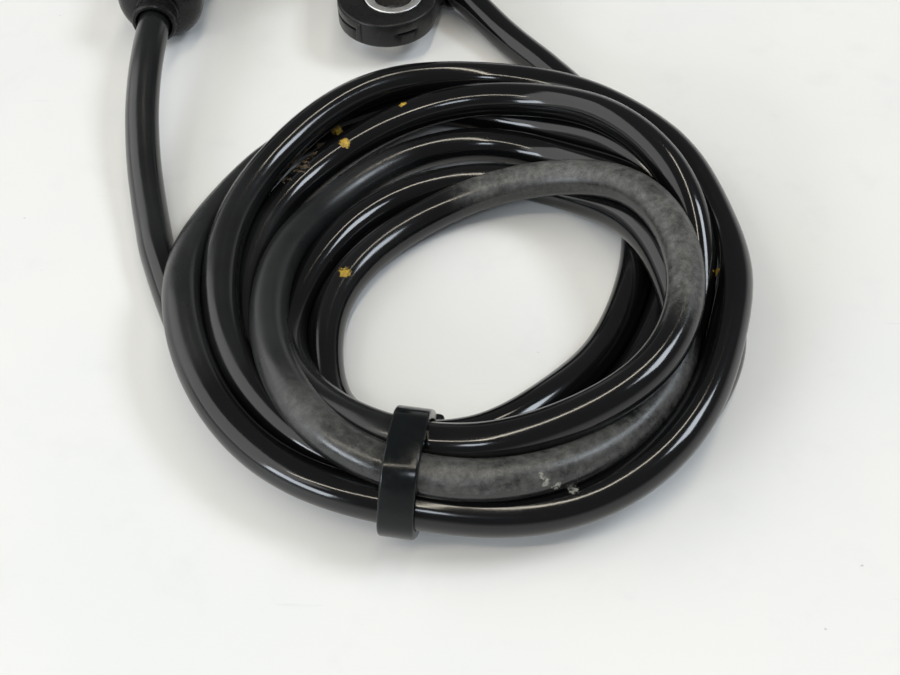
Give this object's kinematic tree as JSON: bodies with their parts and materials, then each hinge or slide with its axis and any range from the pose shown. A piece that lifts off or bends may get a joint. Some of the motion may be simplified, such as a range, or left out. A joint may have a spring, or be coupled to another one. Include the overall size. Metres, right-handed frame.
{
  "type": "wheel speed sensor",
  "caption": "Wheel speed sensor with an upright sensing barrel, a bolt-on lug, a black jacketed cable wound in a tied coil, and a plug connector with a rubber boot.",
  "frame": {"origin": "on the sensor head's flat back face, on the axis of the barrel", "axes": "+Z along the barrel to the sensing tip, -Y from the barrel to the bolt hole"},
  "size_m": [0.1061, 0.1447, 0.034],
  "materials": {
    "black_nylon": "semi-matt black moulded nylon",
    "tie_nylon": "black nylon with a soft sheen",
    "bushing_steel": "zinc-plated steel, lightly scratched",
    "black_rubber": "matt black moulded rubber",
    "cable_jacket": "glossy black jacket, scuffed grey in places",
    "seal_rubber": "green silicone",
    "pale_plastic": "natural moulded plastic",
    "magnet": "dark ferrite",
    "chip_epoxy": "black moulded epoxy",
    "tinned_contact": "tinned copper alloy",
    "core_white": "white core insulation",
    "core_brown": "brown core insulation"
  },
  "bodies": {
    "root": {"head_housing": "black_nylon", "mount_bushing": "bushing_steel", "head_o_ring": "black_rubber", "tip_cap": "black_nylon", "element_carrier": "pale_plastic", "hall_chip": "chip_epoxy", "bias_magnet": "magnet", "head_strain_relief": "black_rubber", "lead_frame_a": "tinned_contact", "lead_frame_b": "tinned_contact", "head_crimp_a": "tinned_contact", "head_crimp_b": "tinned_contact", "head_core_a": "core_white", "head_core_b": "core_brown", "cable_to_sensor": "cable_jacket", "cable_coil": "cable_jacket", "cable_to_connector": "cable_jacket", "cable_tie": "tie_nylon", "connector_boot": "black_rubber", "connector_housing": "black_nylon", "rear_retainer": "black_nylon", "wire_seal_a": "seal_rubber", "wire_seal_b": "seal_rubber", "pin_a": "tinned_contact", "pin_b": "tinned_contact", "terminal_lock": "pale_plastic", "interface_seal": "seal_rubber", "connector_core_a": "core_white", "connector_core_b": "core_brown"}
  },
  "joints": []
}
